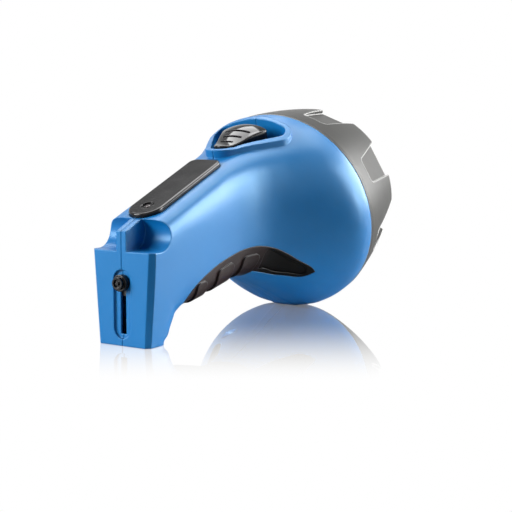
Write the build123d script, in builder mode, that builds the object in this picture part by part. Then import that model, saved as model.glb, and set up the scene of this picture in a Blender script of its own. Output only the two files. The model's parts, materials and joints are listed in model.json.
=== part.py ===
from build123d import *
from math import atan, atan2, cos, degrees, hypot, pi, radians, sin, tan
import os

# A rechargeable hand torch: a bell and a bent handle in one two-part moulding, resting on its tail.
# X runs forward, Y to the left and Z up, and the origin is the middle of the tail's foot.

# Outside form
tail_depth = 17.0
handle_half = 20.0
foot_half = 16.0
draft_height = 60.0
draft_power = 1.3
rim_r = 57.4
rim_x = 138.8
rim_z = 55.85
tilt = 16.0
head_run = 106.0
handle_low = 8.0
handle_mid = 18.0
top_drop = 0.7
top_fall = 0.106
bend_x = 27.5
bend_z = 2.0
bend_r = 15.0
front_slope = 58.0
rear_spare = 12.0
fan_end = 187.0
fan_turn = 14.0
fan_powers = (5, 6)
outline_steps = 24
fine_steps = 240
edge_bevel = 2.2

# Walls and fits
wall = 2.4
rubber = 1.8
seam = 0.2
fit = 0.3
snug = 0.1
overrun = 2.0

# Side pockets at the top of the tail, with a web between them
pocket_x = -2.0
pocket_z = 55.3
pocket_r = 8.5
web_half = 3.0

# Rear slot and the sliding mains plug
slot_half = 1.7
slot_low = 5.9
slot_high = 33.4
track_half = 5.2
track_low = 3.6
track_high = 37.8
track_deep = 1.2
plug_travel = 22.0
pin_r = 2.0
pin_half = 9.5
pin_low = 3.2
pin_buried = 8.0
pin_hole_r = 2.3
carriage_half = 12.6
carriage_high = 13.2
carriage_front = 4.6
stem_half = 1.5
stem_high = 3.6
knob_r = 4.25
knob_proud = 3.8
knob_z = 31.3
knob_step_share = 0.72
knob_dish_share = 0.5
knob_pip_share = 0.22
knob_round = 0.4
guide_wall = 1.6
guide_half = 9.0
contact_thick = 0.3
contact_wide = 3.0

# Cover plate and charge indicator, placed along the handle's top from its rear corner
plate_rear = 13.4
plate_front = 78.6
plate_half = 9.7
plate_proud = 2.2
plate_sunk = 1.2
plate_corner = 4.5
plate_edge = 1.0
plate_backing = 2.2
lamp_at = 23.4
lamp_ring_r = 3.5
lamp_ring_deep = 0.7
lamp_r = 1.5
lamp_dome = 0.5

# Switch boss, well and button, placed along the boss's own top plane
boss_x = 70.6
boss_z = 93.5
boss_slope = 13.1
boss_rear = 7.1
boss_rear_r = 9.5
boss_front = 33.9
boss_front_r = 9.0
boss_front_half = 25.4
boss_bow = 2.0
boss_crown_r = 46.0
boss_deep = 14.0
boss_lip = 2.6
rim_wide = 3.0
well_deep = 5.6
well_floor = 2.2
button_rear = 9.4
button_rear_r = 6.0
button_front = 30.0
button_front_r = 2.8
button_front_half = 13.6
button_bow = 0.8
button_side = [(0, 1.0), (0.28, 1.3), (0.62, 4.3), (1, 5.3)]
button_crown_r = 26.0
button_edge = 0.8
button_travel = 6.5
groove_wide = 1.7
groove_places = [(11.4, 0.3), (17.0, 1.8), (22.6, 3.4)]
groove_margin = 2.6
lever_at = 18.0
lever_long = 7.0
lever_wide = 4.0
lever_drop = 3.2
switch_long = 22.0
switch_wide = 11.0
switch_high = 7.0
switch_ear = 5.0
switch_ear_thick = 1.6

# Grip, its finger pads and its front scoop, as shares of the grip's own box in the side view
grip_x = 20.0
grip_z = 16.0
grip_long = 98.2
grip_high = 26.1
pad_lift = 0.9
scoop_deep = 0.8
grip_top_shares = [
    (0.000, 0.000), (0.017, 0.149), (0.058, 0.333), (0.144, 0.540), (0.256, 0.728), (0.380, 0.870),
    (0.504, 0.969), (0.603, 1.000), (0.675, 0.973), (0.742, 0.897), (0.814, 0.762), (0.888, 0.602),
    (0.964, 0.448), (1.000, 0.330),
]
grip_low_shares = [
    (1.000, 0.330), (0.958, 0.222), (0.903, 0.249), (0.844, 0.287), (0.774, 0.341), (0.695, 0.414),
    (0.653, 0.444),
]
grip_under_shares = [(0.606, -0.600), (0.120, -0.600)]
pad_shares = [
    ((0.097, -0.500), (0.188, -0.500), (0.188, 0.480), (0.097, 0.440)),
    ((0.280, -0.500), (0.423, -0.500), (0.423, 0.765), (0.280, 0.620)),
    ((0.505, -0.500), (0.595, -0.500), (0.636, 0.845), (0.505, 0.800)),
]
pad_round = 3.0
scoop_shares = [
    (0.670, 0.560), (0.690, 0.900), (0.760, 0.790), (0.850, 0.610), (0.940, 0.430), (0.960, 0.300),
    (0.905, 0.310), (0.840, 0.355), (0.770, 0.415), (0.700, 0.485),
]

# Front ring and what it holds, measured forward from the rim along the lamp's axis
ring_gap = 0.3
ring_belt = 2.5
ring_long = 46.4
ring_front_r = 47.2
ring_crown = 0.7
ring_wall = 2.6
ring_bevel = 0.8
ring_front_wall = 5.6
lobe_count = 8
lobe_half_angle = 9.6
scallop_rear = 13.0
scallop_rear_half = 7.2
scallop_rear_deep = 1.2
scallop_front_deep = 4.0
scallop_round = 3.5
lip_r = 39.0
lip_thick = 2.0
gasket_thick = 0.6
lens_r = 41.4
lens_thick = 2.5
spigot_r = 51.8
spigot_wall = 2.4
spigot_long = 10.0
seal_thick = 1.6
ledge_long = 3.0
lug_long = 2.4
lug_proud = 0.9
lug_half_angle = 10.0
lug_spare_angle = 2.0
lug_count = 4

# Reflector, LED board and LEDs
dish_back = 8.6
dish_wall = 1.6
dish_back_r = 27.5
dish_front_r = 39.6
flange_r = 51.3
board_r = 26.4
board_thick = 1.6
board_post_r = 2.6
board_screw_at = 23.4
board_screw_r = 1.0
board_screw_head_r = 1.9
board_screw_long = 4.0
board_screw_count = 3
led_r = 2.5
led_flange_r = 2.9
led_flange = 1.0
led_long = 8.6
led_round = 2.25
led_hole_r = 2.75
led_rings = [(1, 0.0), (5, 8.5), (9, 17.0)]

# Battery and charge board, placed along the handle's top and down from it
battery_rear = 31.6
battery_long = 44.0
battery_half = 12.5
battery_top = 20.0
battery_high = 26.0
pad_thick = 1.2
terminal_long = 6.0
terminal_wide = 4.8
terminal_thick = 0.8
terminal_half = 7.0
rib_thick = 1.8
rib_over = 1.8
rib_shares = (0.12, 0.5, 0.88)
card_rear = 18.0
card_long = 44.0
card_half = 12.0
card_down = 8.0
card_thick = 1.6
rail_deep = 1.6
capacitor_long = 18.0
capacitor_wide = 8.0
capacitor_high = 8.0
capacitor_at = 30.0
chip_long = 7.0
chip_wide = 5.0
chip_high = 3.0
chip_shares = [(0.14, 0.4), (0.14, -0.45), (0.80, 0.45), (0.80, -0.4)]
chip_lamp_high = 1.2

# Housing screws, as places in the side view
screw_r = 1.45
screw_hole_r = 1.5
screw_pass_r = 1.7
screw_head_r = 2.8
screw_head_high = 2.0
screw_bore_r = 3.1
screw_seat = 8.0
screw_reach = 9.0
post_r = 3.3
tube_r = 4.4
post_places = {
    "heel": (10.8, 24.0),
    "sink": (24.5, 42.9),
    "top": (70.8, 78.2),
    "middle": (95.5, 42.0),
    "bell_low": (120.3, 17.2),
    "bell_high": (117.5, 91.6),
}

rear_x = -tail_depth/2
axis_dir = (cos(radians(tilt)), 0, sin(radians(tilt)))
up_dir = (-sin(radians(tilt)), 0, cos(radians(tilt)))
rim_centre = (rim_x, 0, rim_z)
lamp = Plane(origin=rim_centre, x_dir=(0, 1, 0), z_dir=axis_dir)
turning = Plane(origin=rim_centre, x_dir=(0, 1, 0), z_dir=(axis_dir[2], 0, -axis_dir[0]))
lamp_axis = Axis(rim_centre, axis_dir)

# The handle's top is one straight line in the side view.
top_rise = rim_r - top_drop
top_slope = tilt + degrees(atan(top_fall))
top_x = rim_x + top_rise*up_dir[0]
top_z = rim_z + top_rise*up_dir[2]


def top_at(x):
    return top_z + (x - top_x)*tan(radians(top_slope))


top_dir = (cos(radians(top_slope)), 0, sin(radians(top_slope)))
top_up = (-top_dir[2], 0, top_dir[0])
handle = Plane(origin=(rear_x, 0, top_at(rear_x)), x_dir=top_dir, z_dir=top_up)
boss_dir = (cos(radians(boss_slope)), 0, sin(radians(boss_slope)))
boss = Plane(origin=(boss_x, 0, boss_z), x_dir=boss_dir, z_dir=(-boss_dir[2], 0, boss_dir[0]))

# Sections square to the lamp's axis, from the rim back. Each row holds the station, the flare under and
# beside the axis, the height of the widest point, the lift over the top line, the foot's draft, and then
# the powers of the upper and the lower half of the outline.
head_shares = [
    (0.000, 1.000, 1.000, 0.000, 0.0122, 0.00, 2.00, 2.00),
    (0.057, 0.992, 0.989, 0.000, 0.0216, 0.00, 2.00, 2.00),
    (0.113, 0.947, 0.930, 0.000, 0.0204, 0.00, 2.05, 2.00),
    (0.170, 0.862, 0.824, 0.000, 0.0122, 0.00, 2.15, 2.00),
    (0.236, 0.745, 0.674, 0.000, 0.0040, 0.00, 2.30, 2.00),
    (0.302, 0.619, 0.516, 0.028, 0.0000, 0.05, 2.50, 2.00),
    (0.377, 0.480, 0.348, 0.083, 0.0000, 0.12, 2.80, 2.05),
    (0.453, 0.348, 0.203, 0.222, 0.0000, 0.25, 3.20, 2.20),
    (0.538, 0.206, 0.091, 0.444, 0.0000, 0.45, 3.70, 2.60),
    (0.642, 0.077, 0.021, 0.778, 0.0000, 0.75, 4.20, 3.40),
    (0.755, 0.032, 0.003, 0.972, 0.0000, 0.95, 4.60, 4.20),
    (0.877, 0.012, 0.000, 1.000, 0.0000, 1.00, 4.80, 4.60),
    (1.000, -0.012, 0.000, 1.000, 0.0000, 1.00, 5.00, 5.00),
]
fan_front_shares = (0.0, 0.36, 0.75)
fan_rear_shares = (0.0, 0.13, 0.32, 0.55, 0.77, 1.0)


# Points of half an outline from its top to its bottom, evenly spaced along it
def outline(low, high, mid, half, top_power, low_power):
    fine = []
    for step in range(fine_steps + 1):
        turn = pi/2 - pi*step/fine_steps
        power = top_power if turn >= 0 else low_power
        side = half*max(cos(turn), 0)**(2/power)
        reach = abs(sin(turn))**(2/power)
        height = mid + (high - mid)*reach if turn >= 0 else mid - (mid - low)*reach
        fine.append((side, height))
    run = [0.0]
    for one, two in zip(fine, fine[1:]):
        run.append(run[-1] + hypot(two[0] - one[0], two[1] - one[1]))
    points = []
    near = 0
    for step in range(outline_steps + 1):
        want = run[-1]*step/outline_steps
        while near < fine_steps - 1 and run[near + 1] < want:
            near += 1
        share = min(max((want - run[near])/(run[near + 1] - run[near]), 0), 1)
        one, two = fine[near], fine[near + 1]
        points.append((one[0] + share*(two[0] - one[0]), one[1] + share*(two[1] - one[1])))
    return points


# One half section on the plane through a base point, whose heights run along a direction
def section(base, direction, low, high, mid, half, powers, draft):
    plane = Plane(origin=(base[0], 0, base[1]), x_dir=(0, -1, 0), z_dir=(-direction[1], 0, direction[0]))
    points = []
    for side, height in outline(low, high, mid, half, powers[0], powers[1]):
        lift = base[1] + height*direction[1]
        below = max(1 - lift/draft_height, 0)**draft_power
        points.append(Vector(side*(1 - draft*(1 - foot_half/handle_half)*below), height))
    spacing = [step/outline_steps for step in range(outline_steps + 1)]
    with BuildSketch(plane) as half_section:
        with BuildLine():
            add(Edge.make_spline(points, tangents=[(1, 0), (-1, 0)], parameters=spacing))
            Line(points[-1], points[0])
        make_face()
    return half_section.sketch


# The right half of the outside form, drawn in by an inset
def form(inset):
    sections = []
    for station, under, beside, mid, lift, draft, top_power, low_power in head_shares:
        back = head_run*station
        base = (rim_x - back*axis_dir[0], rim_z - back*axis_dir[2])
        low = -handle_low - (rim_r - handle_low)*under
        high = top_rise - top_fall*back + rim_r*lift
        half = handle_half + (rim_r - handle_half)*beside
        sections.append(section(base, (up_dir[0], up_dir[2]), low + inset, high - inset, handle_mid*mid,
                                half - inset, (top_power, low_power), draft))
    start = 90 + tilt
    corner = degrees(atan2(top_at(rear_x - rear_spare) - bend_z, rear_x - rear_spare - bend_x))
    turns = [start + (corner - start)*share for share in fan_front_shares]
    turns += [corner + (fan_end - corner)*share for share in fan_rear_shares]
    for turn in turns:
        direction = (cos(radians(turn)), sin(radians(turn)))
        past = max(turn - 90 - front_slope, 0)
        low = bend_r/cos(radians(past))
        rise = (top_at(bend_x) - bend_z)/(direction[1] - tan(radians(top_slope))*direction[0])
        back = (rear_x - rear_spare - bend_x)/direction[0]
        high = min(rise, back)
        top_power = fan_powers[0] if turn < start + fan_turn else fan_powers[1]
        sections.append(section((bend_x, bend_z), direction, low + inset, high - inset, (low + high)/2,
                                handle_half - inset, (top_power, fan_powers[0]), 1))
    with BuildPart() as half_form:
        loft(sections=sections)
    return half_form.part


def grip_points(shares):
    return [(grip_x + grip_long*along, grip_z + grip_high*up) for along, up in shares]


# The grip's outline in the side view, drawn in by an inset, one point at a time
def grip_outline(inset):
    loop = grip_points(grip_top_shares + grip_low_shares[1:] + grip_under_shares)
    moved = []
    for index, point in enumerate(loop):
        before = loop[index - 1]
        after = loop[(index + 1) % len(loop)]
        run = (after[0] - before[0], after[1] - before[1])
        size = hypot(run[0], run[1])
        moved.append((point[0] + inset*run[1]/size, point[1] - inset*run[0]/size))
    return moved


def grip_prism(inset, start):
    points = grip_outline(inset)
    tip = len(grip_top_shares) - 1
    under = tip + len(grip_low_shares) - 1
    with BuildPart() as prism:
        with BuildSketch(Plane.XZ.offset(start)):
            with BuildLine():
                Spline(*points[:tip + 1])
                Spline(*points[tip:under + 1])
                Polyline(*points[under:], points[0])
            make_face()
        extrude(amount=rim_r)
    return prism.part


def rounded_prism(points, radius, start):
    with BuildPart() as prism:
        with BuildSketch(Plane.XZ.offset(start)) as outline_sketch:
            with BuildLine():
                Polyline(*points, close=True)
            make_face()
            fillet(outline_sketch.vertices(), radius)
        extrude(amount=rim_r)
    return prism.part


# The pockets' shape on the right, grown by a wall, starting at a distance from the middle
def pocket_cut(grow, start):
    with BuildPart() as cut:
        with BuildSketch(Plane.XZ.offset(start)):
            with Locations((pocket_x, pocket_z)):
                Circle(pocket_r + grow)
            with Locations((pocket_x, pocket_z - pocket_r - grow)):
                Rectangle(tail_depth, pocket_r*4, align=(Align.MAX, Align.MIN))
        extrude(amount=handle_half + overrun)
    return cut.part


# A tapering plan with a round rear end, two round front corners and a bowed front, on a plane over the boss
def wedge_plan(level, rear, rear_r, front, front_r, front_half, bow):
    across = front_half - front_r
    gap = hypot(front - rear, across)
    along = ((front - rear)/gap, across/gap)
    lean = (rear_r - front_r)/gap
    square = (1 - lean**2)**0.5
    normal = (along[0]*lean - along[1]*square, along[1]*lean + along[0]*square)
    rear_touch = (rear + rear_r*normal[0], rear_r*normal[1])
    front_touch = (front + front_r*normal[0], across + front_r*normal[1])
    bisector = (cos(atan2(normal[1], normal[0])/2), sin(atan2(normal[1], normal[0])/2))
    corner = (front + front_r*bisector[0], across + front_r*bisector[1])
    nose = (front + front_r, across)
    with BuildSketch(boss.offset(level)) as plan:
        with BuildLine():
            ThreePointArc((rear_touch[0], -rear_touch[1]), (rear - rear_r, 0), rear_touch)
            Line(rear_touch, front_touch)
            ThreePointArc(front_touch, corner, nose)
            ThreePointArc(nose, (nose[0] + bow, 0), (nose[0], -nose[1]))
            ThreePointArc((nose[0], -nose[1]), (corner[0], -corner[1]), (front_touch[0], -front_touch[1]))
            Line((front_touch[0], -front_touch[1]), (rear_touch[0], -rear_touch[1]))
        make_face()
    return plan.sketch


def boss_plan(level, inset):
    return wedge_plan(level, boss_rear, boss_rear_r - inset, boss_front, boss_front_r - inset,
                      boss_front_half - inset, boss_bow)


def plate_plan(level, grow):
    with BuildSketch(handle.offset(level)) as plan:
        with BuildLine():
            rear = (plate_rear + plate_half, 0)
            ends = (plate_rear + plate_half, plate_front + grow)
            half = plate_half + grow
            Line((ends[1], -half), (ends[0], -half))
            ThreePointArc((ends[0], -half), (rear[0] - half, 0), (ends[0], half))
            Line((ends[0], half), (ends[1], half))
            Line((ends[1], half), (ends[1], -half))
        make_face()
        fillet(plan.vertices().group_by(Axis((0, 0, 0), top_dir))[-1], plate_corner + grow)
    return plan.sketch


# A box placed on the handle's own plane, by its rear end, length, half width, top and height
def handle_box(rear, length, half, top, height):
    with BuildPart() as block:
        with BuildSketch(handle.offset(-top)):
            with Locations((rear, 0)):
                Rectangle(length, 2*half, align=(Align.MIN, Align.CENTER))
        extrude(amount=-height)
    return block.part


def disc(front, back, radius):
    with BuildPart() as cylinder:
        with BuildSketch(lamp.offset(back)):
            Circle(radius)
        extrude(amount=front - back)
    return cylinder.part


# Outside form of the right half, with the switch boss and the side pocket
def right_skin():
    with BuildPart() as skin:
        add(form(0))
        split(bisect_by=Plane.YZ.offset(rear_x), keep=Keep.TOP)
        bevel_plane = Plane(origin=(rear_x, edge_bevel - foot_half, 0),
                            x_dir=(0, foot_half - handle_half, draft_height),
                            z_dir=(-draft_height, -draft_height, foot_half - handle_half))
        split(bisect_by=bevel_plane, keep=Keep.BOTTOM)
        with BuildPart(mode=Mode.PRIVATE) as block:
            extrude(boss_plan(0, 0), amount=-boss_deep)
            with BuildSketch(Plane(origin=boss.origin, x_dir=(0, 1, 0), z_dir=boss_dir)):
                with Locations((0, -boss_crown_r)):
                    Circle(boss_crown_r)
            extrude(amount=boss_front*2, both=True, mode=Mode.INTERSECT)
            split(bisect_by=Plane.XZ, keep=Keep.TOP)
        add(block.part)
        with BuildPart(mode=Mode.PRIVATE) as raised:
            extrude(boss_plan(-boss_deep, 0), amount=boss_deep*2)
            add(form(-boss_lip), mode=Mode.INTERSECT)
        add(raised.part)
        split(bisect_by=Plane.XY, keep=Keep.TOP)
        split(bisect_by=Plane.XZ.offset(seam/2), keep=Keep.TOP)
        add(pocket_cut(0, web_half), mode=Mode.SUBTRACT)
    return skin.part


# The hollow of the right half, before posts and ribs are left standing in it
def right_hollow():
    with BuildPart() as band:
        add(grip_prism(-wall, -overrun))
        add(form(rubber + wall), mode=Mode.SUBTRACT)
    with BuildPart() as hollow:
        add(form(wall))
        add(band.part, mode=Mode.SUBTRACT)
        split(bisect_by=Plane.YZ.offset(rear_x + wall), keep=Keep.TOP)
        split(bisect_by=Plane.XY.offset(wall), keep=Keep.TOP)
        split(bisect_by=lamp.offset(-wall), keep=Keep.BOTTOM)
        add(pocket_cut(wall, 0), mode=Mode.SUBTRACT)
        extrude(boss_plan(-well_deep - well_floor, 0), amount=boss_deep, mode=Mode.SUBTRACT)
        extrude(plate_plan(-plate_sunk - plate_backing, plate_backing), amount=boss_deep, mode=Mode.SUBTRACT)
    return hollow.part


# Posts for the housing screws, run out from the middle to the right
def posts(radius, start, end):
    with BuildPart() as group:
        with BuildSketch(Plane.XZ.offset(start)):
            with Locations(*post_places.values()):
                Circle(radius)
        extrude(amount=end - start)
    return group.part


# What stands in the hollow of one half: screw posts, battery ribs and stops, card rails and plug guides
def supports(radius):
    battery_end = battery_rear + battery_long
    with BuildPart() as group:
        add(posts(radius, 0, rim_r))
        for share in rib_shares:
            add(handle_box(battery_rear + battery_long*share - rib_thick/2, rib_thick, rim_r,
                           battery_top - rib_over, battery_high + rim_r))
        add(handle_box(battery_rear - fit, battery_long + 2*fit, battery_half + fit, battery_top - fit,
                       battery_high + 2*fit), mode=Mode.SUBTRACT)
        with BuildPart(mode=Mode.PRIVATE) as stops:
            add(handle_box(battery_rear - pad_thick - rib_thick, rib_thick, rim_r, battery_top, rim_r))
            add(handle_box(battery_end + pad_thick, rib_thick, rim_r, battery_top, rim_r))
            add(handle_box(0, battery_end*2, battery_half/2, 0, rim_r*2), mode=Mode.SUBTRACT)
        add(stops.part)
        with BuildPart(mode=Mode.PRIVATE) as rails:
            add(handle_box(card_rear, card_long, rim_r, card_down - rail_deep, card_thick + 2*rail_deep))
            add(handle_box(0, card_long*2, card_half - rail_deep, 0, rim_r), mode=Mode.SUBTRACT)
            add(handle_box(0, card_long*2, card_half + snug, card_down - snug, card_thick + 2*snug),
                mode=Mode.SUBTRACT)
        add(rails.part)
        with BuildSketch(Plane.XY):
            with Locations((carriage_front + fit, -guide_half)):
                Rectangle(guide_wall, rim_r, align=(Align.MIN, Align.MAX))
        extrude(amount=pocket_z - pocket_r)
    return group.part


# The right half of the spigot that carries the front ring, with its lugs
def spigot():
    lug_low = seal_thick + fit + ledge_long + fit
    with BuildPart() as collar:
        with BuildSketch(lamp.offset(-wall)):
            Circle(spigot_r)
            Circle(spigot_r - spigot_wall, mode=Mode.SUBTRACT)
        extrude(amount=wall + spigot_long)
        add(lug_ring(spigot_r - snug, spigot_r + lug_proud, lug_low, lug_long, lug_half_angle))
        split(bisect_by=Plane.XZ.offset(seam/2), keep=Keep.TOP)
    return collar.part


# Ring pieces at equal turns round the lamp's axis
def lug_ring(inner, outer, low, length, half_angle):
    with BuildPart() as group:
        with BuildSketch(lamp.offset(low)) as pieces:
            with PolarLocations(0, lug_count, start_angle=180/lug_count):
                with BuildLine():
                    Line((0, 0), polar_point(outer*2, half_angle))
                    Line(polar_point(outer*2, half_angle), polar_point(outer*2, -half_angle))
                    Line(polar_point(outer*2, -half_angle), (0, 0))
                make_face()
            Circle(outer, mode=Mode.INTERSECT)
            Circle(inner, mode=Mode.SUBTRACT)
        extrude(amount=length)
    return group.part


def polar_point(radius, angle):
    return (radius*cos(radians(angle)), radius*sin(radians(angle)))


# Everything that the two halves of the housing share, made for the right side
def shell_half(skin, hollow, bed, radius):
    with BuildPart() as inside:
        add(hollow)
        add(supports(radius), mode=Mode.SUBTRACT)
    with BuildPart() as half:
        add(skin)
        add(inside.part, mode=Mode.SUBTRACT)
        add(spigot())
        add(disc(spigot_long + overrun, -wall - overrun, spigot_r - spigot_wall), mode=Mode.SUBTRACT)
        add(bed, mode=Mode.SUBTRACT)
        extrude(boss_plan(-well_deep, rim_wide), amount=boss_deep, mode=Mode.SUBTRACT)
        extrude(plate_plan(-plate_sunk, snug), amount=boss_deep, mode=Mode.SUBTRACT)
        with BuildSketch(handle.offset(plate_proud)):
            with Locations((lamp_at, 0)):
                Circle(lamp_r + 2*snug)
        extrude(amount=-card_down, mode=Mode.SUBTRACT)
        with BuildSketch(boss.offset(-well_deep)):
            with Locations((lever_at + button_travel/2, 0)):
                Rectangle(lever_long + button_travel + 2*fit, lever_wide + 2*fit)
            with Locations(*switch_screw_places()):
                Circle(board_screw_r + snug/2)
        extrude(amount=-well_floor - overrun, mode=Mode.SUBTRACT)
        with BuildSketch(Plane.YZ.offset(rear_x - overrun)):
            with Locations((0, (track_low + track_high)/2)):
                SlotOverall(track_high - track_low, 2*track_half, rotation=90)
        extrude(amount=track_deep + overrun, mode=Mode.SUBTRACT)
        with BuildSketch(Plane.YZ.offset(rear_x - overrun)):
            with Locations((0, (slot_low + slot_high)/2)):
                Rectangle(2*slot_half, slot_high - slot_low)
        extrude(amount=wall + 2*overrun, mode=Mode.SUBTRACT)
        with BuildSketch(Plane.XY.offset(-overrun)):
            with Locations((0, -pin_half)):
                Circle(pin_hole_r)
        extrude(amount=wall + 2*overrun, mode=Mode.SUBTRACT)
    return half.part


def switch_screw_places():
    reach = (switch_long + switch_ear)/2
    middle = lever_at + button_travel/2
    return [(middle - reach, 0), (middle + reach, 0)]


skin = right_skin()
hollow = right_hollow()
with BuildPart() as bed:
    add(grip_prism(0, -overrun))
    add(form(rubber), mode=Mode.SUBTRACT)

# The screw holes are drilled before the inside is hollowed out, so that each stays within its own post.
with BuildPart() as right_drilled:
    add(skin)
    add(posts(screw_hole_r, -overrun, screw_reach + overrun), mode=Mode.SUBTRACT)

with BuildPart() as right_shell:
    add(shell_half(right_drilled.part, hollow, bed.part, post_r))

with BuildPart() as left_drilled:
    add(skin)
    add(posts(screw_pass_r, -overrun, screw_seat + overrun), mode=Mode.SUBTRACT)
    add(posts(screw_bore_r, screw_seat, rim_r + overrun), mode=Mode.SUBTRACT)

with BuildPart() as left_shell:
    add(shell_half(left_drilled.part, hollow, bed.part, tube_r).mirror(Plane.XZ))

with BuildPart() as housing_screws:
    with BuildSketch(Plane.XZ.offset(-screw_seat)):
        with Locations(*post_places.values()):
            Circle(screw_r)
    extrude(amount=screw_seat + screw_reach)
    with BuildSketch(Plane.XZ.offset(-screw_seat)):
        with Locations(*post_places.values()):
            Circle(screw_head_r)
    extrude(amount=-screw_head_high)

# Grip, moulded onto each half, with its raised pads and the scooped front
with BuildPart() as right_grip:
    add(grip_prism(snug, seam/2))
    with BuildPart(mode=Mode.PRIVATE) as pads:
        for points in pad_shares:
            add(rounded_prism(grip_points(points), pad_round, seam/2))
    add(form(0), mode=Mode.INTERSECT)
    with BuildPart(mode=Mode.PRIVATE) as raised_pads:
        add(pads.part)
        add(form(-pad_lift), mode=Mode.INTERSECT)
    add(raised_pads.part)
    with BuildPart(mode=Mode.PRIVATE) as scoop:
        with BuildSketch(Plane.XZ.offset(-overrun)):
            with BuildLine():
                Spline(*grip_points(scoop_shares), periodic=True)
            make_face()
        extrude(amount=rim_r)
        add(form(scoop_deep), mode=Mode.SUBTRACT)
    add(scoop.part, mode=Mode.SUBTRACT)
    add(form(rubber), mode=Mode.SUBTRACT)

with BuildPart() as grip_insert:
    add(right_grip.part)
    add(right_grip.part.mirror(Plane.XZ))

# Front ring with its scallops and the ledges behind the lugs
lens_front = ring_long - lip_thick - gasket_thick
lens_back = lens_front - lens_thick
ring_inner_r = rim_r - ring_wall
ring_taper = (ring_front_r - ring_front_wall - ring_inner_r)/(ring_long - ring_belt)
seat_r = lens_r + fit


def ring_outside(station):
    share = (station - ring_belt)/(ring_long - ring_belt)
    return rim_r + (ring_front_r - rim_r)*share + ring_crown*4*share*(1 - share)


with BuildPart() as scallop:
    with BuildSketch(Plane(origin=rim_centre, x_dir=up_dir, z_dir=(0, 1, 0))):
        with BuildLine():
            Polyline((ring_outside(scallop_rear) - scallop_rear_deep, scallop_rear),
                     (ring_front_r - scallop_front_deep, ring_long),
                     (ring_front_r - scallop_front_deep, ring_long + overrun),
                     (rim_r + overrun, ring_long + overrun),
                     (rim_r + overrun, scallop_rear), close=True)
        make_face()
    extrude(amount=ring_front_r, both=True)
    front_half = ring_front_r*sin(pi/lobe_count - radians(lobe_half_angle))
    spread = (front_half - scallop_rear_half)/(ring_long - scallop_rear)
    far = ring_long + 2*scallop_round
    far_half = front_half + 2*scallop_round*spread
    side = Plane(origin=rim_centre, x_dir=(0, -1, 0), z_dir=up_dir)
    with BuildSketch(side.offset(ring_front_r/2)):
        with BuildLine():
            FilletPolyline((-scallop_rear_half, scallop_rear), (-far_half, far), (far_half, far),
                           (scallop_rear_half, scallop_rear), radius=scallop_round, close=True)
        make_face()
    extrude(amount=rim_r, mode=Mode.INTERSECT)

with BuildPart() as bezel_ring:
    with BuildSketch(turning):
        with BuildLine():
            Line((rim_r, ring_gap), (rim_r, ring_belt))
            belly = (ring_belt + ring_long)/2
            ThreePointArc((rim_r, ring_belt), (ring_outside(belly), belly),
                          (ring_front_r, ring_long - ring_bevel))
            Polyline((ring_front_r, ring_long - ring_bevel), (ring_front_r - ring_bevel, ring_long),
                     (lip_r + ring_bevel, ring_long), (lip_r, ring_long - ring_bevel),
                     (lip_r, ring_long - lip_thick), (seat_r, ring_long - lip_thick),
                     (seat_r, lens_back - fit), (ring_inner_r + ring_taper*(lens_back - fit - ring_belt),
                                                 lens_back - fit),
                     (ring_inner_r, ring_belt), (ring_inner_r, ring_gap), (rim_r, ring_gap))
        make_face()
    revolve(axis=lamp_axis)
    for lobe in range(lobe_count):
        add(scallop.part.rotate(lamp_axis, 360*(lobe + 0.5)/lobe_count), mode=Mode.SUBTRACT)
    add(lug_ring(spigot_r + fit, ring_inner_r, seal_thick + fit, ledge_long,
                 lug_half_angle + lug_spare_angle))

with BuildPart() as lens:
    with BuildSketch(lamp.offset(lens_back)):
        Circle(lens_r)
    extrude(amount=lens_thick)

with BuildPart() as lens_gasket:
    with BuildSketch(lamp.offset(lens_front)):
        Circle(lens_r)
        Circle(lip_r, mode=Mode.SUBTRACT)
    extrude(amount=gasket_thick)

with BuildPart() as ring_seal:
    with BuildSketch(lamp.offset(0)):
        Circle(ring_inner_r - fit)
        Circle(spigot_r + snug, mode=Mode.SUBTRACT)
    extrude(amount=seal_thick)

# Reflector, LED board and LEDs
dish_front = lens_back - fit
board_front = dish_back - board_post_r
plate_front_face = dish_back + dish_wall
flange_front = spigot_long + dish_wall
led_places = []
for count, radius in led_rings:
    for step in range(count):
        led_places.append(polar_point(radius, 360*step/count))
board_screw_places = [polar_point(board_screw_at, 90 + 360*step/board_screw_count)
                      for step in range(board_screw_count)]

with BuildPart() as reflector:
    with BuildSketch(turning):
        with BuildLine():
            inner_back = dish_back_r - dish_wall
            half_way = (plate_front_face + dish_front)/2
            middle_r = ((inner_back**2 + dish_front_r**2)/2)**0.5
            ThreePointArc((inner_back, plate_front_face), (middle_r, half_way), (dish_front_r, dish_front))
            Line((dish_front_r, dish_front), (dish_front_r + dish_wall, dish_front))
            ThreePointArc((dish_front_r + dish_wall, dish_front), (middle_r + dish_wall, half_way),
                          (dish_back_r + dish_wall/2, flange_front))
            Polyline((dish_back_r + dish_wall/2, flange_front), (flange_r, flange_front),
                     (flange_r, spigot_long), (dish_back_r, spigot_long), (dish_back_r, dish_back),
                     (0, dish_back), (0, plate_front_face), (inner_back, plate_front_face))
        make_face()
    revolve(axis=lamp_axis)
    with BuildSketch(lamp.offset(dish_back)):
        with Locations(*board_screw_places):
            Circle(board_post_r)
    extrude(amount=-board_post_r)
    with BuildSketch(lamp.offset(board_front)):
        with Locations(*board_screw_places):
            Circle(board_screw_r + snug/2)
    extrude(amount=board_post_r + dish_wall/2, mode=Mode.SUBTRACT)
    with BuildSketch(lamp.offset(dish_back)):
        with Locations(*led_places):
            Circle(led_hole_r)
    extrude(amount=dish_wall, mode=Mode.SUBTRACT)

with BuildPart() as led_board:
    with BuildSketch(lamp.offset(board_front)):
        Circle(board_r)
        with Locations(*board_screw_places):
            Circle(board_screw_r + snug/2, mode=Mode.SUBTRACT)
    extrude(amount=-board_thick)

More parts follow.
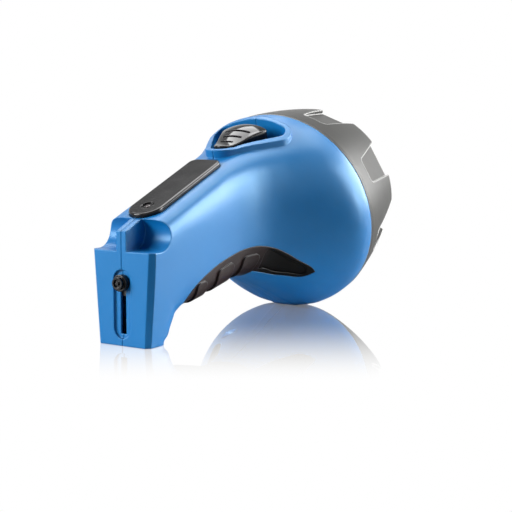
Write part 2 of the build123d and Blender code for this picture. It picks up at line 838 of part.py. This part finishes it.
with BuildPart() as leds:
    with BuildSketch(lamp.offset(board_front)):
        with Locations(*led_places):
            Circle(led_flange_r)
    extrude(amount=led_flange)
    with BuildSketch(lamp.offset(board_front + led_flange)):
        with Locations(*led_places):
            Circle(led_r)
    extrude(amount=led_long - led_flange)
    fillet(leds.edges().group_by(lamp_axis)[-1], led_round)

with BuildPart() as board_screws:
    with BuildSketch(lamp.offset(board_front - board_thick)):
        with Locations(*board_screw_places):
            Circle(board_screw_head_r)
    extrude(amount=-board_screw_r)
    with BuildSketch(lamp.offset(board_front - board_thick)):
        with Locations(*board_screw_places):
            Circle(board_screw_r)
    extrude(amount=board_screw_long)

# Slide button, its lever and the switch under the well
button_low = -well_deep + fit
button_start = button_rear - button_rear_r
button_long = button_front + button_front_r + button_bow - button_start
button_path = [(button_start + share*button_long, rise) for share, rise in button_side]
side_plane = Plane(origin=boss.origin, x_dir=boss_dir, z_dir=(0, -1, 0))
crown_origin = boss.from_local_coords(Vector(0, 0, -button_crown_r))
with BuildPart() as switch_button:
    extrude(wedge_plan(button_low, button_rear, button_rear_r, button_front, button_front_r,
                       button_front_half, button_bow), amount=boss_deep)
    with BuildSketch(side_plane):
        with BuildLine():
            Spline(*button_path)
            Polyline(button_path[-1], (button_path[-1][0], button_low), (button_path[0][0], button_low),
                     button_path[0])
        make_face()
    revolve(axis=Axis(crown_origin, boss_dir), mode=Mode.INTERSECT)
    top = switch_button.faces().sort_by(Axis((0, 0, 0), boss.z_dir))[-1]
    fillet(top.edges(), button_edge)
    spread = (button_front_half - button_rear_r)/(button_front - button_rear)
    for along, level in groove_places:
        reach = button_rear_r + spread*(along - button_rear) - groove_margin
        with BuildPart(mode=Mode.PRIVATE) as cutter:
            with BuildSketch(boss.offset(button_low)):
                with Locations((along, 0)):
                    SlotOverall(2*reach, groove_wide, rotation=90)
            extrude(amount=boss_deep)
            with BuildSketch(Plane(origin=crown_origin, x_dir=(0, 1, 0), z_dir=boss_dir)):
                Circle(button_crown_r + level)
            extrude(amount=boss_front_half*2, mode=Mode.SUBTRACT)
        add(cutter.part, mode=Mode.SUBTRACT)

with BuildPart() as switch_lever:
    with BuildSketch(boss.offset(button_low)):
        with Locations((lever_at, 0)):
            Rectangle(lever_long, lever_wide)
    extrude(amount=-(well_deep + well_floor + button_low) - lever_drop)

with BuildPart() as slide_switch:
    with BuildSketch(boss.offset(-well_deep - well_floor)):
        with Locations((lever_at + button_travel/2, 0)):
            Rectangle(switch_long, switch_wide)
    extrude(amount=-switch_high)
    with BuildSketch(boss.offset(-well_deep - well_floor)):
        with Locations((lever_at + button_travel/2, 0)):
            Rectangle(switch_long + 2*switch_ear, switch_wide)
    extrude(amount=-switch_ear_thick)
    with BuildSketch(boss.offset(-well_deep - well_floor)):
        with Locations((lever_at + button_travel/2, 0)):
            Rectangle(lever_long + button_travel + 2*fit, lever_wide + 2*fit)
    extrude(amount=-lever_drop - fit, mode=Mode.SUBTRACT)
    with BuildSketch(boss.offset(-well_deep - well_floor)):
        with Locations(*switch_screw_places()):
            Circle(board_screw_r + snug/2)
    extrude(amount=-switch_ear_thick, mode=Mode.SUBTRACT)

with BuildPart() as switch_screws:
    with BuildSketch(boss.offset(-well_deep - well_floor - switch_ear_thick)):
        with Locations(*switch_screw_places()):
            Circle(board_screw_head_r)
    extrude(amount=-board_screw_r)
    with BuildSketch(boss.offset(-well_deep - well_floor - switch_ear_thick)):
        with Locations(*switch_screw_places()):
            Circle(board_screw_r)
    extrude(amount=switch_ear_thick + well_floor - snug)

# Cover plate and charge indicator
with BuildPart() as cover_plate:
    extrude(plate_plan(-plate_sunk, 0), amount=plate_sunk + plate_proud)
    fillet(cover_plate.faces().sort_by(Axis((0, 0, 0), top_up))[-1].edges(), plate_edge)
    with BuildSketch(handle.offset(plate_proud)):
        with Locations((lamp_at, 0)):
            Circle(lamp_ring_r)
    extrude(amount=-lamp_ring_deep, mode=Mode.SUBTRACT)
    with BuildSketch(handle.offset(plate_proud)):
        with Locations((lamp_at, 0)):
            Circle(lamp_r + snug)
    extrude(amount=-plate_proud - plate_sunk, mode=Mode.SUBTRACT)

chip_top = card_down - chip_lamp_high
with BuildPart() as charge_indicator:
    with BuildSketch(handle.offset(snug - chip_top)):
        with Locations((lamp_at, 0)):
            Circle(lamp_r)
    extrude(amount=chip_top - snug + plate_proud - lamp_ring_deep + lamp_dome)
    fillet(charge_indicator.edges().group_by(Axis((0, 0, 0), top_up))[-1], lamp_dome)

# Battery, its pads and terminals
with BuildPart() as battery:
    add(handle_box(battery_rear, battery_long, battery_half, battery_top, battery_high))

with BuildPart() as battery_pads:
    for start in (battery_rear - pad_thick, battery_rear + battery_long):
        add(handle_box(start, pad_thick, battery_half, battery_top + pad_thick, battery_high - 2*pad_thick))

with BuildPart() as battery_terminals:
    with BuildSketch(handle.offset(-battery_top)):
        with Locations((battery_rear + battery_long - 2*terminal_long, -terminal_half),
                       (battery_rear + battery_long - 2*terminal_long, terminal_half)):
            Rectangle(terminal_long, terminal_wide)
    extrude(amount=terminal_thick)

# Charge card with what it carries
with BuildPart() as charge_board:
    add(handle_box(card_rear, card_long, card_half, card_down, card_thick))

card_under = card_down + card_thick
with BuildPart() as dropper_capacitor:
    add(handle_box(capacitor_at, capacitor_long, capacitor_wide/2, card_under, capacitor_high))

with BuildPart() as board_components:
    for along, across in chip_shares:
        with BuildSketch(handle.offset(-card_under)):
            with Locations((card_rear + card_long*along, card_half*across)):
                Rectangle(chip_long, chip_wide)
        extrude(amount=-chip_high)
    with BuildSketch(handle.offset(-card_down)):
        with Locations((lamp_at, 0)):
            Rectangle(lamp_r*2, lamp_r*2)
    extrude(amount=chip_lamp_high)

# Mains plug: carriage with its stem, pins, knob and contact strips
carriage_low = wall + snug + plug_travel
carriage_rear = rear_x + wall + fit
knob_base = rear_x + track_deep - fit
with BuildPart() as plug_carriage:
    with BuildSketch(Plane.XY.offset(carriage_low)):
        with Locations((carriage_rear, 0)):
            Rectangle(carriage_front - carriage_rear, 2*carriage_half, align=(Align.MIN, Align.CENTER))
    extrude(amount=carriage_high)
    with BuildSketch(Plane.YZ.offset(knob_base)):
        with Locations((0, knob_z)):
            Rectangle(2*stem_half, stem_high)
    extrude(amount=carriage_rear - knob_base)
    with BuildSketch(Plane.XY.offset(carriage_low)):
        with Locations((0, -pin_half), (0, pin_half)):
            Circle(pin_r + snug/2)
    extrude(amount=pin_buried + snug, mode=Mode.SUBTRACT)

with BuildPart() as plug_pins:
    with BuildSketch(Plane.XY.offset(pin_low)):
        with Locations((0, -pin_half), (0, pin_half)):
            Circle(pin_r)
    extrude(amount=carriage_low + pin_buried - pin_low)
    fillet(plug_pins.edges().group_by(Axis.Z)[0], pin_r/2)

with BuildPart() as plug_knob:
    with BuildSketch(Plane.YZ.offset(knob_base)):
        with Locations((0, knob_z)):
            Circle(knob_r)
    extrude(amount=-(knob_base - rear_x) - knob_proud/2)
    with BuildSketch(Plane.YZ.offset(rear_x - knob_proud/2)):
        with Locations((0, knob_z)):
            Circle(knob_r*knob_step_share)
    extrude(amount=-knob_proud/2)
    with BuildSketch(Plane.YZ.offset(rear_x - knob_proud)):
        with Locations((0, knob_z)):
            Circle(knob_r*knob_dish_share)
            Circle(knob_r*knob_pip_share, mode=Mode.SUBTRACT)
    extrude(amount=knob_proud/4, mode=Mode.SUBTRACT)
    fillet(plug_knob.edges().filter_by(GeomType.CIRCLE).group_by(SortBy.RADIUS)[-1].sort_by(Axis.X)[0],
           knob_round)

with BuildPart() as plug_contacts:
    with BuildSketch(Plane.XY.offset(wall + fit)):
        for side in (-1, 1):
            with Locations((carriage_front + fit + contact_thick/2,
                            side*(guide_half - fit - contact_wide/2))):
                Rectangle(contact_thick, contact_wide)
    extrude(amount=carriage_low + carriage_high - wall - fit)

pieces = {
    "right_shell": right_shell, "left_shell": left_shell, "housing_screws": housing_screws,
    "grip_insert": grip_insert, "bezel_ring": bezel_ring, "lens": lens, "lens_gasket": lens_gasket,
    "ring_seal": ring_seal, "reflector": reflector, "led_board": led_board, "leds": leds,
    "board_screws": board_screws, "switch_button": switch_button, "switch_lever": switch_lever,
    "slide_switch": slide_switch, "switch_screws": switch_screws, "cover_plate": cover_plate,
    "charge_indicator": charge_indicator, "battery": battery, "battery_pads": battery_pads,
    "battery_terminals": battery_terminals, "charge_board": charge_board,
    "dropper_capacitor": dropper_capacitor, "board_components": board_components,
    "plug_carriage": plug_carriage, "plug_pins": plug_pins, "plug_knob": plug_knob,
    "plug_contacts": plug_contacts,
}
os.makedirs("parts", exist_ok=True)
for label, piece in pieces.items():
    piece.part.label = label
    export_step(piece.part, f"parts/{label}.step")
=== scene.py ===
import bpy
import json
import math
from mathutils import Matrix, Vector

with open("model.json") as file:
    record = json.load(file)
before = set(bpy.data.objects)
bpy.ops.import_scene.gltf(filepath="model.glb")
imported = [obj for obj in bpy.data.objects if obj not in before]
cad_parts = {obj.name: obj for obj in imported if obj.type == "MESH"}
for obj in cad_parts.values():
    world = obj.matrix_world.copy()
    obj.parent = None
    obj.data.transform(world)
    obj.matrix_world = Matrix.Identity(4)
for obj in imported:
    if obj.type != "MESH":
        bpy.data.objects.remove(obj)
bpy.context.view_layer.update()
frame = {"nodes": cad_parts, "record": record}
nodes = frame["nodes"]
print("frame loaded:", len(nodes), "pieces")


# Camera at the photograph's angle
cameraView = {"place": (-0.48738, -0.39478, 0.12282), "turn": 56.55, "pitch": 7.23, "lens": 90.0, "sensor": 36.0,
              "near": 0.01, "far": 50.0}


def placeCamera():
    turn = math.radians(cameraView["turn"])
    pitch = math.radians(cameraView["pitch"])
    back = Vector((-math.sin(turn)*math.cos(pitch), -math.cos(turn)*math.cos(pitch), math.sin(pitch)))
    data = bpy.data.cameras.new("torchCamera")
    data.lens = cameraView["lens"]
    data.sensor_width = cameraView["sensor"]
    data.clip_start = cameraView["near"]
    data.clip_end = cameraView["far"]
    camera = bpy.data.objects.new("torchCamera", data)
    bpy.context.scene.collection.objects.link(camera)
    camera.location = cameraView["place"]
    camera.rotation_mode = "QUATERNION"
    camera.rotation_quaternion = (-back).to_track_quat("-Z", "Y")
    bpy.context.scene.camera = camera


placeCamera()
print("camera placed")


# Small helpers for the materials' nodes
noiseSpan = (0.3, 0.7)
pureWhite = (1.0, 1.0, 1.0, 1.0)


def newFinish(name):
    finish = bpy.data.materials.new(name)
    finish.use_nodes = True
    return finish, finish.node_tree, finish.node_tree.nodes["Principled BSDF"]


def addNode(tree, kind, inputs=None, **settings):
    node = tree.nodes.new(kind)
    for key, value in settings.items():
        setattr(node, key, value)
    for key, value in (inputs or {}).items():
        if isinstance(value, bpy.types.NodeSocket):
            tree.links.new(value, node.inputs[key])
        else:
            node.inputs[key].default_value = value
    return node


def objectPlace(tree):
    return addNode(tree, "ShaderNodeTexCoord").outputs["Object"]


def noiseAt(tree, place, scale, detail):
    return addNode(tree, "ShaderNodeTexNoise", {"Vector": place, "Scale": scale, "Detail": detail}).outputs["Fac"]


def mapRange(tree, value, span, low=0.0, high=1.0, kind="LINEAR"):
    start, end = span
    return addNode(tree, "ShaderNodeMapRange", {"Value": value, "From Min": start, "From Max": end,
                                                "To Min": low, "To Max": high},
                   interpolation_type=kind).outputs["Result"]


def maths(tree, operation, first, second):
    return addNode(tree, "ShaderNodeMath", {0: first, 1: second}, operation=operation).outputs["Value"]


def vectorMaths(tree, operation, first, second):
    return addNode(tree, "ShaderNodeVectorMath", {0: first, 1: second}, operation=operation).outputs["Value"]


def blendValues(tree, amount, first, second):
    return addNode(tree, "ShaderNodeMix", {0: amount, 2: first, 3: second}).outputs[0]


def blendColours(tree, amount, first, second):
    mix = addNode(tree, "ShaderNodeMix", {"Factor": amount}, data_type="RGBA")
    for index, colour in ((6, first), (7, second)):
        if isinstance(colour, bpy.types.NodeSocket):
            tree.links.new(colour, mix.inputs[index])
        else:
            mix.inputs[index].default_value = (*colour, 1.0)
    return mix.outputs[2]


def setUnevenGloss(tree, shader, smears, look):
    low, high = look["rough"] - look["roughSpread"], look["rough"] + look["roughSpread"]
    tree.links.new(mapRange(tree, smears, noiseSpan, low, high), shader.inputs["Roughness"])


# What a moulded look has unless it says otherwise; the edge span is how far the rounded edge turns from the flat,
# and over it the edge colour is painted in: a painted highlight where that colour is lighter, painted shade where it
# is darker
usualLook = {
    "cloudDetail": 4.0, "smearScale": 90.0, "smearDetail": 5.0, "grainDetail": 2.0, "grainDeep": 0.0001,
    "edge": 0.0, "edgeSamples": 8, "edgeLightShadeAmount": 0.15, "edgeLightShadeSpan": (0.995, 0.90), "front": None,
    "metal": 0.0, "shine": 0.5, "tint": (1.0, 1.0, 1.0), "coat": 0.0, "coatRough": 0.05,
}


# A moulded or rolled surface: cloudy colour, uneven gloss, fine grain, softened edges painted lighter as a highlight
# or darker as shade, and optional painted shade over the front scoop
def mouldedFinish(name, ownLook):
    # Without its own edge colour, a look's edges are painted in its second cloud colour: a faint painted highlight
    # where that is lighter, faint painted shade where it is darker
    look = {**usualLook, "edgeLightShadeColour": ownLook["shade"], **ownLook}
    finish, tree, shader = newFinish(name)
    place = objectPlace(tree)
    clouds = noiseAt(tree, place, look["cloudScale"], look["cloudDetail"])
    colour = blendColours(tree, mapRange(tree, clouds, noiseSpan), look["colour"], look["shade"])
    if look["front"]:
        # Painted shade: the scoop at the front is darkened towards the edge colour, standing in for the shade in the
        # recess
        ahead = addNode(tree, "ShaderNodeSeparateXYZ", {"Vector": place}).outputs["X"]
        colour = blendColours(tree, mapRange(tree, ahead, look["front"]), colour, look["edgeLightShadeColour"])
    setUnevenGloss(tree, shader, noiseAt(tree, place, look["smearScale"], look["smearDetail"]), look)
    grain = noiseAt(tree, place, look["grainScale"], look["grainDetail"])
    bump = addNode(tree, "ShaderNodeBump", {"Height": grain, "Strength": look["grain"],
                                            "Distance": look["grainDeep"]})
    # The rounded edge is painted in the edge colour: a lighter one is a painted highlight, a darker one is painted
    # shade
    if look["edge"]:
        # The rounded edge takes a colour of its own, as if rubbed
        edge = addNode(tree, "ShaderNodeBevel", {"Radius": look["edge"]}, samples=look["edgeSamples"])
        tree.links.new(edge.outputs["Normal"], bump.inputs["Normal"])
        surface = addNode(tree, "ShaderNodeNewGeometry").outputs["Normal"]
        along = vectorMaths(tree, "DOT_PRODUCT", edge.outputs["Normal"], surface)
        edgeLightShadeMask = mapRange(tree, along, look["edgeLightShadeSpan"], high=look["edgeLightShadeAmount"], kind="SMOOTHSTEP")
        colour = blendColours(tree, edgeLightShadeMask, colour, look["edgeLightShadeColour"])
    tree.links.new(colour, shader.inputs["Base Color"])
    tree.links.new(bump.outputs["Normal"], shader.inputs["Normal"])
    shader.inputs["Metallic"].default_value = look["metal"]
    shader.inputs["Specular IOR Level"].default_value = look["shine"]
    shader.inputs["Specular Tint"].default_value = (*look["tint"], 1.0)
    shader.inputs["Coat Weight"].default_value = look["coat"]
    shader.inputs["Coat Roughness"].default_value = look["coatRough"]
    return finish


finishLooks = {
    # satinBlue's lighter blue edge colour is a painted highlight along its rounded edges
    "satinBlue": {"colour": (0.002, 0.162, 0.460), "shade": (0.003, 0.174, 0.485), "cloudScale": 22.0,
                  "tint": (0.50, 0.80, 1.0), "shine": 0.60, "rough": 0.38, "roughSpread": 0.03,
                  "grainScale": 2600.0, "grain": 0.08, "edge": 0.0010, "edgeLightShadeAmount": 0.35,
                  "edgeLightShadeColour": (0.04, 0.25, 0.60)},
    # greyRing's near-white edge colour is a painted highlight along the window and lobe edges
    "greyRing": {"colour": (0.056, 0.056, 0.053), "shade": (0.064, 0.064, 0.061), "cloudScale": 25.0,
                 "shine": 0.14, "rough": 0.42, "roughSpread": 0.02, "grainScale": 3000.0, "grain": 0.10,
                 "edge": 0.0014, "metal": 0.12, "edgeLightShadeAmount": 0.9, "edgeLightShadeColour": (0.50, 0.50, 0.49)},
    "blackGloss": {"colour": (0.006, 0.006, 0.007), "shade": (0.010, 0.010, 0.011), "cloudScale": 60.0,
                   "shine": 0.32, "rough": 0.10, "roughSpread": 0.03, "grainScale": 900.0, "grain": 0.02,
                   "edge": 0.0003},
    # gripRubber's near-black edge colour is painted shade in the grooves round the pads, and also the painted shade
    # over the front scoop
    "gripRubber": {"colour": (0.014, 0.006, 0.006), "shade": (0.024, 0.011, 0.011), "cloudScale": 70.0,
                   "shine": 0.22, "rough": 0.40, "roughSpread": 0.06, "grainScale": 2200.0, "grain": 0.25,
                   "edge": 0.0008, "edgeLightShadeAmount": 0.95, "edgeLightShadeColour": (0.0015, 0.001, 0.001), "front": (0.084, 0.090)},
    "sealRubber": {"colour": (0.020, 0.020, 0.020), "shade": (0.030, 0.030, 0.030), "cloudScale": 80.0,
                   "rough": 0.60, "roughSpread": 0.08, "grainScale": 2500.0, "grain": 0.30},
    "chromeDish": {"colour": (0.86, 0.86, 0.87), "shade": (0.80, 0.80, 0.82), "cloudScale": 40.0,
                   "rough": 0.06, "roughSpread": 0.02, "grainScale": 500.0, "grain": 0.04, "metal": 1.0},
    "boardGreen": {"colour": (0.012, 0.120, 0.040), "shade": (0.018, 0.170, 0.055), "cloudScale": 160.0,
                   "rough": 0.32, "roughSpread": 0.06, "grainScale": 1500.0, "grain": 0.25},
    "indicatorRed": {"colour": (0.014, 0.002, 0.002), "shade": (0.020, 0.003, 0.003), "cloudScale": 300.0,
                     "rough": 0.15, "roughSpread": 0.04, "grainScale": 1200.0, "grain": 0.05, "coat": 0.5},
    "screwSteel": {"colour": (0.60, 0.60, 0.59), "shade": (0.48, 0.48, 0.47), "cloudScale": 180.0,
                   "rough": 0.30, "roughSpread": 0.08, "grainScale": 1600.0, "grain": 0.20, "metal": 1.0},
    "innerPlastic": {"colour": (0.022, 0.022, 0.024), "shade": (0.034, 0.034, 0.036), "cloudScale": 70.0,
                     "rough": 0.45, "roughSpread": 0.06, "grainScale": 2400.0, "grain": 0.25, "edge": 0.0002},
    "batteryCase": {"colour": (0.080, 0.082, 0.090), "shade": (0.110, 0.112, 0.120), "cloudScale": 50.0,
                    "rough": 0.48, "roughSpread": 0.06, "grainScale": 2400.0, "grain": 0.30, "edge": 0.0003},
    "capacitorCase": {"colour": (0.380, 0.045, 0.020), "shade": (0.300, 0.030, 0.015), "cloudScale": 90.0,
                      "rough": 0.22, "roughSpread": 0.05, "grainScale": 700.0, "grain": 0.25, "edge": 0.0006},
    "foamBlack": {"colour": (0.030, 0.030, 0.030), "shade": (0.050, 0.050, 0.050), "cloudScale": 500.0,
                  "rough": 0.92, "roughSpread": 0.05, "grainScale": 1500.0, "grain": 0.90, "grainDeep": 0.0004},
    "contactBrass": {"colour": (0.66, 0.46, 0.18), "shade": (0.55, 0.36, 0.13), "cloudScale": 140.0,
                     "rough": 0.28, "roughSpread": 0.08, "grainScale": 1400.0, "grain": 0.15, "metal": 1.0},
    "pinPlate": {"colour": (0.72, 0.71, 0.68), "shade": (0.62, 0.61, 0.58), "cloudScale": 160.0,
                 "rough": 0.18, "roughSpread": 0.06, "grainScale": 1400.0, "grain": 0.10, "metal": 1.0},
}
finishes = {name: mouldedFinish(name, look) for name, look in finishLooks.items()}


# Clear parts: the lens is polished, with faint moulding ripples, and the LEDs are clear epoxy
clearLooks = {
    "lensClear": {"colour": (0.96, 0.98, 1.0), "rough": 0.02, "roughSpread": 0.01, "ripple": 0.03,
                  "rippleScale": 60.0, "through": 1.0},
    "ledClear": {"colour": (0.90, 0.92, 0.95), "rough": 0.06, "roughSpread": 0.02, "ripple": 0.10,
                 "rippleScale": 400.0, "through": 0.55},
}
clearShared = {"smearScale": 120.0, "smearDetail": 4.0, "smearShade": 0.97, "rippleDetail": 3.0,
               "rippleDeep": 0.0003, "ior": 1.5}


def clearFinish(name, ownLook):
    look = {**clearShared, **ownLook}
    finish, tree, shader = newFinish(name)
    place = objectPlace(tree)
    smears = noiseAt(tree, place, look["smearScale"], look["smearDetail"])
    setUnevenGloss(tree, shader, smears, look)
    smeared = tuple(look["smearShade"]*part for part in look["colour"])
    tree.links.new(blendColours(tree, smears, look["colour"], smeared), shader.inputs["Base Color"])
    ripples = noiseAt(tree, place, look["rippleScale"], look["rippleDetail"])
    bump = addNode(tree, "ShaderNodeBump", {"Height": ripples, "Strength": look["ripple"],
                                            "Distance": look["rippleDeep"]})
    tree.links.new(bump.outputs["Normal"], shader.inputs["Normal"])
    shader.inputs["Transmission Weight"].default_value = look["through"]
    shader.inputs["IOR"].default_value = look["ior"]
    return finish


for name, look in clearLooks.items():
    finishes[name] = clearFinish(name, look)

finishOfSlot = {
    "body_blue": "satinBlue", "ring_silver": "greyRing", "black_gloss": "blackGloss", "grip_rubber": "gripRubber",
    "lens_clear": "lensClear", "seal_rubber": "sealRubber", "reflector_chrome": "chromeDish",
    "board_green": "boardGreen", "led_clear": "ledClear", "indicator_red": "indicatorRed",
    "screw_steel": "screwSteel", "inner_plastic": "innerPlastic", "battery_case": "batteryCase",
    "capacitor_case": "capacitorCase", "foam": "foamBlack", "contact_brass": "contactBrass", "pin_plate": "pinPlate",
}
slotOfNode = {part["node"]: part["material_slot"] for part in frame["record"]["subparts"]}
for nodeName, node in nodes.items():
    node.data.materials.clear()
    node.data.materials.append(finishes[finishOfSlot[slotOfNode[nodeName]]])
print("finishes made:", len(finishes))


# Pale floor: seen by the camera it is white with a fading mirror image, and to the torch it is a dull sheet
floorLook = {"half": 6.0, "matt": 0.5, "mirror": 0.85, "rough": 0.02, "ahead": (0.834, 0.552, 0.0),
             "nearFade": (-0.085, 0.07), "farFade": (0.34, 0.20), "centre": (0.12, 0.0, 0.0),
             "facing": (0.50, 0.72), "reach": (0.08, 0.20), "bounce": (0.90, 0.90, 0.90),
             "dull": (0.20, 0.20, 0.20)}


def makeFloor():
    bpy.ops.mesh.primitive_plane_add(size=2*floorLook["half"], location=(0, 0, 0))
    floor = bpy.context.object
    floor.name = "floor"
    finish, tree, shader = newFinish("paleFloor")
    rays = addNode(tree, "ShaderNodeLightPath")
    place = objectPlace(tree)
    ahead = vectorMaths(tree, "DOT_PRODUCT", place, floorLook["ahead"])
    centred = vectorMaths(tree, "DISTANCE", place, floorLook["centre"])
    # It bounces more light up under the torch than from further off
    under = blendColours(tree, mapRange(tree, centred, floorLook["reach"]), floorLook["bounce"], floorLook["dull"])
    dulled = blendColours(tree, rays.outputs["Is Glossy Ray"], under, floorLook["dull"])
    tree.links.new(dulled, shader.inputs["Base Color"])
    shader.inputs["Roughness"].default_value = floorLook["matt"]
    # It mirrors less in front of the torch, further off and when it is seen from above
    near = mapRange(tree, ahead, floorLook["nearFade"], kind="SMOOTHSTEP")
    far = mapRange(tree, centred, floorLook["farFade"], kind="SMOOTHSTEP")
    facing = addNode(tree, "ShaderNodeLayerWeight").outputs["Facing"]
    grazing = mapRange(tree, facing, floorLook["facing"], high=floorLook["mirror"])
    share = maths(tree, "MULTIPLY", maths(tree, "MULTIPLY", near, far), grazing)
    plain = addNode(tree, "ShaderNodeEmission", {"Color": pureWhite, "Strength": 1.0})
    mirror = addNode(tree, "ShaderNodeBsdfGlossy", {"Color": pureWhite, "Roughness": floorLook["rough"]})
    sheet = addNode(tree, "ShaderNodeMixShader", {0: share, 1: plain.outputs["Emission"], 2: mirror.outputs["BSDF"]})
    mix = addNode(tree, "ShaderNodeMixShader", {0: rays.outputs["Is Camera Ray"], 1: shader.outputs["BSDF"],
                                                2: sheet.outputs["Shader"]})
    tree.links.new(mix.outputs["Shader"], tree.nodes["Material Output"].inputs["Surface"])
    floor.data.materials.append(finish)


makeFloor()

# Soft boxes: name, place, aim, width, height, power, and whether they light matt surfaces too
lampRows = [
    ("softRight", (0.90, -0.54, 0.40), (0.10, 0.0, 0.05), 0.50, 0.60, 18.0, True),
    ("softSide", (0.52, -0.96, 0.30), (0.12, 0.0, 0.05), 0.30, 0.90, 17.0, False),
    ("softCrest", (0.41, 0.46, 0.98), (0.08, 0.0, 0.10), 0.66, 0.60, 7.6, False),
    ("softRear", (-0.75, 0.62, 0.42), (0.00, 0.0, 0.05), 0.60, 0.50, 14.0, True),
    ("softTop", (0.42, -0.14, 0.93), (0.12, 0.0, 0.05), 0.60, 0.50, 5.5, True),
]


def makeLamps():
    for name, place, aim, wide, high, power, onMatt in lampRows:
        data = bpy.data.lights.new(name, "AREA")
        data.shape = "RECTANGLE"
        data.size, data.size_y = wide, high
        data.energy = power
        lamp = bpy.data.objects.new(name, data)
        bpy.context.scene.collection.objects.link(lamp)
        lamp.location = place
        lamp.visible_diffuse = onMatt
        lamp.rotation_mode = "QUATERNION"
        lamp.rotation_quaternion = (Vector(aim) - Vector(place)).to_track_quat("-Z", "Y")


# World strength for diffuse light, and for reflections: bright near the horizon, dimmer above and on one side
worldLook = {"diffuse": 0.03, "bright": 1.0, "above": 0.50, "rise": (0.25, 0.58), "dark": 0.45,
             "darkSide": (-0.20, -0.98, 0.0), "darkSpan": (0.10, 0.85), "once": 1.5, "seen": 1.0}


def makeWorld():
    world = bpy.data.worlds.new("studio")
    bpy.context.scene.world = world
    world.use_nodes = True
    tree = world.node_tree
    rays = addNode(tree, "ShaderNodeLightPath").outputs
    aim = addNode(tree, "ShaderNodeTexCoord").outputs["Generated"]
    high = addNode(tree, "ShaderNodeSeparateXYZ", {"Vector": aim}).outputs["Z"]
    risen = mapRange(tree, high, worldLook["rise"], worldLook["bright"], worldLook["above"], "SMOOTHSTEP")
    turned = vectorMaths(tree, "DOT_PRODUCT", aim, worldLook["darkSide"])
    shaded = mapRange(tree, turned, worldLook["darkSpan"], 1.0, worldLook["dark"], "SMOOTHSTEP")
    # Only a ray that was mirrored more than once meets the dark side, so the floor doesn't show it
    twice = maths(tree, "GREATER_THAN", rays["Glossy Depth"], worldLook["once"])
    mirrored = maths(tree, "MULTIPLY", risen, blendValues(tree, twice, 1.0, shaded))
    bounced = blendValues(tree, rays["Is Glossy Ray"], worldLook["diffuse"], mirrored)
    straight = maths(tree, "MAXIMUM", rays["Is Camera Ray"], rays["Is Transmission Ray"])
    strength = blendValues(tree, straight, bounced, worldLook["seen"])
    background = tree.nodes["Background"]
    background.inputs["Color"].default_value = pureWhite
    tree.links.new(strength, background.inputs["Strength"])


makeLamps()
makeWorld()
bpy.context.scene.view_settings.view_transform = "Standard"
print("floor, lamps and world made")
